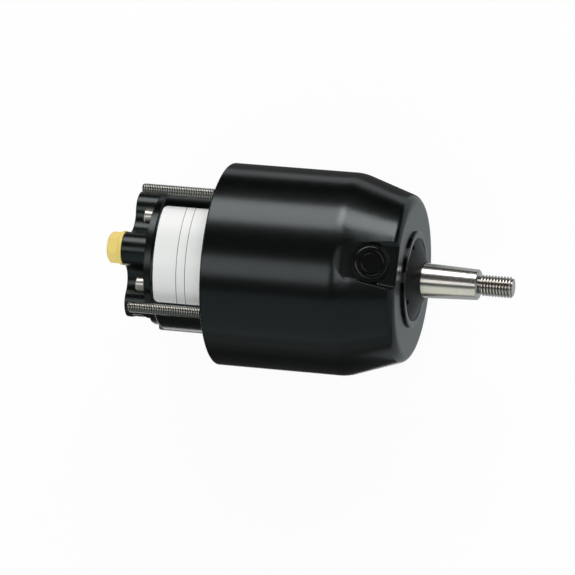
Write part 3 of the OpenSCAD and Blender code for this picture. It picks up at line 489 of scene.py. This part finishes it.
# The shaft thread's roots get painted shade, a darker grey than its crests.
stainless = turned_metal("ground stainless steel", "#cbc8c1", 0.21, 0.5,
                         thread={"root_colour": "#8b8780", "root_r": 4.95 * mm, "crest_r": 5.6 * mm,
                                 "end": cad_low.y})
shaft_thread_start = 147.7 * mm
shaft_thread_overlap = 0.1 * mm
shaft_end = -cad_low.y
shaft_skin = cad_copy("wheel_shaft")
cut_off(shaft_skin, (0, -shaft_thread_start - shaft_thread_overlap, 0), (0, -1, 0))
add_thread(shaft_skin, pitch=1.75 * mm, crest_r=6 * mm, depth=1.07 * mm, start=shaft_thread_start,
           end=shaft_end, lead=1.1 * mm, steps=48, place=Matrix.Rotation(math.pi, 4, "X"))
shaft = new_piece("threaded_shaft", shaft_skin)
shaft.data.materials.append(stainless)
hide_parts("wheel_shaft")
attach(shaft, "rotor")
# The shaft card would draw a streak on the housing, so it lights the shaft alone.
shaft_only = bpy.data.collections.new("lit_by_shaft_card")
shaft_only.objects.link(shaft)
shaft_card.light_linking.receiver_collection = shaft_only


# Lock ring and seal carrier: black glass-filled nylon, screwed into the front wall over the bearing.
# The ring is moulded glossy, the carrier matt, and the carrier holds the rubber shaft seal.
# The ring and the carrier's rim sit low on the front face.
def moulded_nylon(name, colour, rough, grain_mm, gloss=0.5):
    """Glass-filled nylon: black, its gloss a little cloudy from the flow of the moulding."""
    cloudy, edge_mm = 0.05, 0.35
    material, tree = new_material(name)
    place = add_node(tree, "ShaderNodeTexCoord")
    grain = add_node(tree, "ShaderNodeTexNoise",
                     {"Vector": place.outputs["Object"], "Scale": 1 / (grain_mm * mm), "Detail": 4.0})
    roughness = add_node(tree, "ShaderNodeMapRange",
                         {"Value": grain.outputs["Fac"], "To Min": rough - cloudy, "To Max": rough + cloudy})
    bump = add_node(tree, "ShaderNodeBump",
                    {"Height": grain.outputs["Fac"], "Strength": 0.25, "Distance": 0.01 * mm})
    edge = add_node(tree, "ShaderNodeBevel", {"Radius": edge_mm * mm, "Normal": bump.outputs[0]}, samples=4)
    skin = add_node(tree, "ShaderNodeBsdfPrincipled",
                    {"Base Color": linear(colour), "Roughness": roughness.outputs[0], "IOR": 1.53,
                     "Specular IOR Level": gloss, "Normal": edge.outputs[0]})
    add_node(tree, "ShaderNodeOutputMaterial", {"Surface": skin.outputs[0]})
    return material


def moulded_rubber(name, colour):
    """Nitrile rubber: dull black with a fine moulded grain."""
    grain_mm = 0.4
    material, tree = new_material(name)
    place = add_node(tree, "ShaderNodeTexCoord")
    grain = add_node(tree, "ShaderNodeTexNoise",
                     {"Vector": place.outputs["Object"], "Scale": 1 / (grain_mm * mm)})
    bump = add_node(tree, "ShaderNodeBump",
                    {"Height": grain.outputs["Fac"], "Strength": 0.3, "Distance": 0.01 * mm})
    skin = add_node(tree, "ShaderNodeBsdfPrincipled",
                    {"Base Color": linear(colour), "Roughness": 0.6, "IOR": 1.52, "Normal": bump.outputs[0]})
    add_node(tree, "ShaderNodeOutputMaterial", {"Surface": skin.outputs[0]})
    return material


ring_seen_mm, ring_solid_mm = 1.7, 2.7
sunk = ring_seen_mm / ring_solid_mm


def sink(spot):
    """Brings a spot that is ahead of the front face nearer to it."""
    spot.co.y = -face_y + (spot.co.y + face_y) * sunk


ring_skin = cad_copy("lock_ring")
for spot in ring_skin.verts:
    if -spot.co.y > face_y:
        sink(spot)
ring = new_piece("low_lock_ring", ring_skin)
ring.data.materials.append(moulded_nylon("glossy moulded nylon", "#050606", 0.1, 0.9))
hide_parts("lock_ring")
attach(ring, "housing")
carrier_front = 114.9 * mm
carrier_rim_r, carrier_top_r = 22.6 * mm, 11.45 * mm
cone_close, cone_margin = 0.08 * mm, 0.01
ring_front = 111.5 * mm
rim_set_back = 0.4 * mm
cad_rim = ring_front - rim_set_back
low_rim = face_y + (cad_rim - face_y) * sunk
carrier_skin = cad_copy("seal_carrier")
for spot in carrier_skin.verts:
    inward = (carrier_rim_r - math.hypot(spot.co.x, spot.co.z)) / (carrier_rim_r - carrier_top_r)
    off_cone = abs(-spot.co.y - cad_rim - inward * (carrier_front - cad_rim))
    if off_cone < cone_close and -cone_margin < inward < 1 + cone_margin:
        spot.co.y = -low_rim - inward * (carrier_front - low_rim)
    elif face_y < -spot.co.y < cad_rim:
        sink(spot)
carrier = new_piece("low_seal_carrier", carrier_skin)
carrier.data.materials.append(moulded_nylon("matt moulded nylon", "#0a0b0b", 0.42, 0.7, gloss=0.22))
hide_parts("seal_carrier")
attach(carrier, "housing")
rubber = moulded_rubber("nitrile rubber", "#161616")
dress(["shaft_seal", "flange_o_ring", "cover_o_ring", "filler_o_ring"], rubber)

# Pumping group: a bronze cylinder block keyed to the shaft, seven hollow steel pistons on springs.
# They run on a ball race that leans on an aluminium wedge, screwed to the front wall.
bronze = turned_metal("machined bronze", "#a57a4b", 0.28, 0.6)
aluminium = turned_metal("machined aluminium", "#c6c9cb", 0.32, 0.6)
spring_steel = turned_metal("drawn spring steel", "#a8a6a1", 0.24, 0.3)
screw_steel = turned_metal("bright screw steel", "#cbc7be", 0.34, 0.8)
dress(["cylinder_block"], bronze)
dress(["piston_%d" % number for number in range(1, 8)], bearing_steel)
dress(["drive_key"], black_steel)
dress(["piston_springs"], spring_steel)
dress(["swash_plate"], aluminium)
dress(["swash_screws"], screw_steel)
dress(["fixed_race", "moving_race", "thrust_balls_set"], bearing_steel)
dress(["thrust_cage"], brass)

# Pump body: cast aluminium, turned and coated black, a little glossier than the housing.
# Its flange closes the reservoir and is screwed from behind; inside it sit the port plate and the rear bush.
body_coat = satin_black_coat("black coated cast aluminium", "#030404", rough=0.2, grain_mm=0.6,
                             grain_depth_mm=0.012)
dress(["pump_body"], body_coat)
dress(["port_plate", "rear_bush"], bronze)
dress(["port_plate_pins"], black_steel)
dress(["flange_screws"], screw_steel)


# Rear cover: cast aluminium, coated with the body, a round base and a block of five lobes for ports and valve.
# The cast outline runs over into the rear face with a soft rounding, the ports are bored into it afterwards.
cover_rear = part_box("rear_cover")[1].y
lobe_ring_r = 28 * mm
port_clear_r = 7.5 * mm
cover_rounding = 1.6 * mm
outline_from = math.radians(60)
rear_close = 0.01 * mm
lobe_turns = [math.radians(90 + 72 * lobe) for lobe in range(5)]
lobe_spots = [Vector((lobe_ring_r * math.cos(turn), cover_rear, lobe_ring_r * math.sin(turn)))
              for turn in lobe_turns]


def on_cast_outline(edge):
    """True for an edge of the cover's rear outline, and not for the mouth of a port."""
    middle = (edge.verts[0].co + edge.verts[1].co) / 2
    at_rear = all(abs(spot.co.y - cover_rear) < rear_close for spot in edge.verts)
    return (at_rear and len(edge.link_faces) == 2 and edge.calc_face_angle() > outline_from
            and all((middle - spot).length > port_clear_r for spot in lobe_spots))


cover_skin = cad_copy("rear_cover")
soften(cover_skin, on_cast_outline, cover_rounding, segments=5)
cover = new_piece("rounded_cover", cover_skin)
cover.data.materials.append(satin_black_coat("dull black coated cast aluminium", "#030404", rough=0.26,
                                             grain_mm=0.6, grain_depth_mm=0.02))
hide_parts("rear_cover")
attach(cover, "housing")

# Lock valve and cover screws: a steel shuttle spool between two brass seats with sprung steel poppets.
# Each spring shortens as its poppet lifts in the real valve; here the two are made pieces of their own, both
# held to the housing.
# Two black end plugs close the cross bore, five bright socket head screws hold the cover.
dress(["valve_spool", "poppet_left", "poppet_right"], bearing_steel)
dress(["valve_seats"], brass)
for side, spring_name, lift in ((-1, "left_poppet_spring", "left_poppet_lift"),
                                (1, "right_poppet_spring", "right_poppet_lift")):
    coil_skin = cad_copy("poppet_springs")
    bmesh.ops.delete(coil_skin, geom=[spot for spot in coil_skin.verts if spot.co.x * side < 0],
                     context="VERTS")
    coil = new_piece(spring_name, coil_skin)
    coil.data.materials.append(spring_steel)
    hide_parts("poppet_springs")
    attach(coil, "housing")
    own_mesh(coil)
dress(["valve_end_plugs"], black_steel)
dress(["cover_screws"], screw_steel)


# Mounting studs: stainless M6 rod, threaded all the way, screwed into the flange of the pump body.
# They pull the housing against the dashboard, and their thread is rolled, with bright crests over roots
# darkened with painted shade.
def rolled_thread(name, ring_r, crest_colour, **thread):
    """Rolled stainless thread on four rods of one pitch circle: fine bright crests over roots darkened with
    painted shade.
    """
    material, tree = new_material(name)
    place = add_node(tree, "ShaderNodeTexCoord")
    mirrored = add_node(tree, "ShaderNodeVectorMath", {0: place.outputs["Object"]}, operation="ABSOLUTE")
    rod = ring_r * math.sqrt(0.5)
    shade = painted_root_shade(tree, mirrored.outputs[0], (rod, 0, rod), crest_colour, **thread)
    steel = add_node(tree, "ShaderNodeBsdfPrincipled", {"Base Color": shade, "Metallic": 1.0, "Roughness": 0.3})
    add_node(tree, "ShaderNodeOutputMaterial", {"Surface": steel.outputs[0]})
    return material


stud_low, stud_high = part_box("mounting_studs")
stud_ring_r = 47.98 * mm
stud_seat_r = 2.7 * mm
stud_overlap = 0.5 * mm
seat_length = -stud_low.y + stud_overlap
seat_middle = Vector((0, (stud_low.y + stud_overlap) / 2, 0))
upright_to_stud = Matrix.Rotation(math.pi / 2, 4, "X")
stud_skin = bmesh.new()
for degrees in (45, 135, 225, 315):
    turn = math.radians(degrees)
    spot = Vector((stud_ring_r * math.cos(turn), 0, stud_ring_r * math.sin(turn)))
    bmesh.ops.create_cone(stud_skin, cap_ends=True, segments=32, radius1=stud_seat_r, radius2=stud_seat_r,
                          depth=seat_length, matrix=Matrix.Translation(spot + seat_middle) @ upright_to_stud)
    add_thread(stud_skin, pitch=1 * mm, crest_r=3 * mm, depth=0.61 * mm, start=0, end=stud_high.y,
               lead=0.6 * mm, steps=24, place=Matrix.Translation(spot) @ Matrix.Rotation(turn, 4, "Y"))
studs = new_piece("threaded_studs", stud_skin)
# The stud thread's roots get painted shade, much darker than its crests.
studs.data.materials.append(rolled_thread("rolled stainless thread", stud_ring_r, "#e2dfd8",
                                          root_colour="#24211e", root_r=2.45 * mm, crest_r=2.9 * mm,
                                          end=stud_high.y))
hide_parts("mounting_studs")
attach(studs, "housing")


# Yellow port plug: soft polyethylene, moulded, that keeps dirt out of the open port.
# Slightly waxy, with light passing a little way into it and all its edges rounded.
def polyethylene(name, colour):
    """Waxy plastic that light enters a little way, with a soft sheen and no sharp edges."""
    grain_mm, edge_mm, light_depth_mm = 1.5, 0.5, 1.5
    material, tree = new_material(name)
    place = add_node(tree, "ShaderNodeTexCoord")
    grain = add_node(tree, "ShaderNodeTexNoise",
                     {"Vector": place.outputs["Object"], "Scale": 1 / (grain_mm * mm), "Detail": 3.0})
    bump = add_node(tree, "ShaderNodeBump",
                    {"Height": grain.outputs["Fac"], "Strength": 0.2, "Distance": 0.02 * mm})
    edge = add_node(tree, "ShaderNodeBevel", {"Radius": edge_mm * mm, "Normal": bump.outputs[0]}, samples=4)
    wax = add_node(tree, "ShaderNodeBsdfPrincipled",
                   {"Base Color": linear(colour), "Roughness": 0.48, "IOR": 1.51, "Subsurface Weight": 0.15,
                    "Subsurface Radius": (1.0, 0.6, 0.2), "Subsurface Scale": light_depth_mm * mm,
                    "Normal": edge.outputs[0]})
    add_node(tree, "ShaderNodeOutputMaterial", {"Surface": wax.outputs[0]})
    return material


plug_rounding = 0.5 * mm
plug_edge_from = math.radians(25)
plug_skin = cad_copy("port_plug")
soften(plug_skin, lambda edge: len(edge.link_faces) == 2 and edge.calc_face_angle() > plug_edge_from,
       plug_rounding, segments=3)
plug = new_piece("soft_plug", plug_skin)
plug.data.materials.append(polyethylene("yellow moulded polyethylene", "#efd67a"))
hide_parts("port_plug")
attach(plug, "housing")


# Nameplate: white polyester foil, glued round the top of the pump body.
# It is smooth, with two thin dark rules that run round the body.
def white_foil(name, rule_places_mm, rule_mm):
    """Smooth white foil with a low sheen and thin printed rules."""
    material, tree = new_material(name)
    place = add_node(tree, "ShaderNodeTexCoord")
    parts = add_node(tree, "ShaderNodeSeparateXYZ", {"Vector": place.outputs["Object"]})
    ruled = None
    for spot in rule_places_mm:
        near = add_node(tree, "ShaderNodeMath", {0: parts.outputs["Y"], 1: spot * mm, 2: rule_mm / 2 * mm},
                        operation="COMPARE")
        ruled = near if ruled is None else add_node(
            tree, "ShaderNodeMath", {0: ruled.outputs[0], 1: near.outputs[0]}, operation="MAXIMUM")
    ink = add_node(tree, "ShaderNodeMix", {"Factor": ruled.outputs[0], "A": linear("#eeefed"),
                                           "B": linear("#4a4d50")}, data_type="RGBA")
    foil = add_node(tree, "ShaderNodeBsdfPrincipled",
                    {"Base Color": ink.outputs["Result"], "Roughness": 0.34, "IOR": 1.5})
    add_node(tree, "ShaderNodeOutputMaterial", {"Surface": foil.outputs[0]})
    return material


foil_turn = Matrix.Rotation(math.radians(-3.3), 3, "Y")
foil_skin = cad_copy("nameplate")
bmesh.ops.rotate(foil_skin, cent=(0, 0, 0), matrix=foil_turn, verts=foil_skin.verts)
foil = new_piece("glued_nameplate", foil_skin)
foil.data.materials.append(white_foil("white polyester foil", rule_places_mm=(18.5, 13.4), rule_mm=0.35))
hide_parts("nameplate")
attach(foil, "housing")

# Filler cap: black nylon screw plug in the pocket of the nose, moulded, with a raised rim round its disc.
# It screws down on its O-ring by hand, and its disc is smooth and fairly glossy.
dress(["filler_cap"], moulded_nylon("semi gloss moulded nylon", "#050606", 0.15, 0.8))
